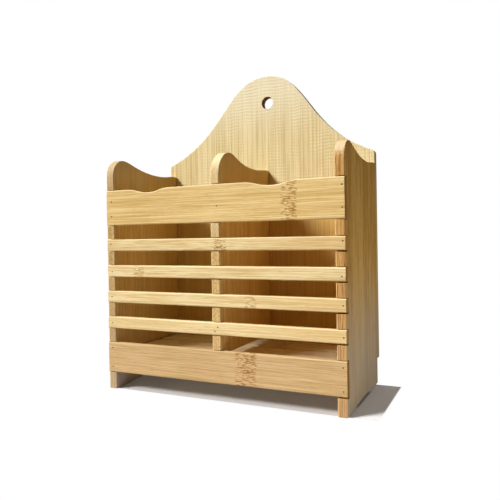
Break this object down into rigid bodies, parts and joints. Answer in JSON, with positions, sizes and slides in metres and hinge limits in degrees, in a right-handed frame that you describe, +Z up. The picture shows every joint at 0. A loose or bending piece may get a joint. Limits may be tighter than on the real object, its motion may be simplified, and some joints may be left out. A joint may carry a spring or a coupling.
{
  "type": "utensil drying rack",
  "caption": "Bamboo utensil drying rack with a slatted front, a divider, a boarded floor and a tall curved back board with a hanging hole.",
  "frame": {"origin": "middle of the base on the shelf, half way between the front of the rails and the rear of the back board", "axes": "+X to the right seen from the front, +Y from the front to the back board, +Z up"},
  "size_m": [0.21, 0.109, 0.281],
  "materials": {
    "bamboo_back": "planed and oiled",
    "bamboo_upright": "sanded and oiled",
    "bamboo_rail": "sanded and oiled",
    "bamboo_floor": "sanded, dry",
    "nail": "dull and dark"
  },
  "bodies": {
    "root": {"back_board": "bamboo_back", "bottom_rail": "bamboo_rail", "divider": "bamboo_upright", "floor_board_1": "bamboo_floor", "floor_board_2": "bamboo_floor", "floor_board_3": "bamboo_floor", "nail_back_divider_1": "nail", "nail_back_divider_2": "nail", "nail_back_divider_3": "nail", "nail_back_side_left_1": "nail", "nail_back_side_left_2": "nail", "nail_back_side_left_3": "nail", "nail_back_side_right_1": "nail", "nail_back_side_right_2": "nail", "nail_back_side_right_3": "nail", "nail_bottom_rail_side_left_1": "nail", "nail_bottom_rail_side_left_2": "nail", "nail_bottom_rail_side_right_1": "nail", "nail_bottom_rail_side_right_2": "nail", "nail_slat_1_divider_1": "nail", "nail_slat_1_side_left_1": "nail", "nail_slat_1_side_right_1": "nail", "nail_slat_2_side_left_1": "nail", "nail_slat_2_side_right_1": "nail", "nail_slat_3_side_left_1": "nail", "nail_slat_3_side_right_1": "nail", "nail_slat_4_divider_1": "nail", "nail_slat_4_divider_2": "nail", "nail_slat_4_side_left_1": "nail", "nail_slat_4_side_right_1": "nail", "nail_top_rail_divider_1": "nail", "nail_top_rail_side_left_1": "nail", "nail_top_rail_side_left_2": "nail", "nail_top_rail_side_right_1": "nail", "nail_top_rail_side_right_2": "nail", "side_left": "bamboo_upright", "side_right": "bamboo_upright", "slat_1": "bamboo_rail", "slat_2": "bamboo_rail", "slat_3": "bamboo_rail", "slat_4": "bamboo_rail", "top_rail": "bamboo_rail"}
  },
  "joints": []
}
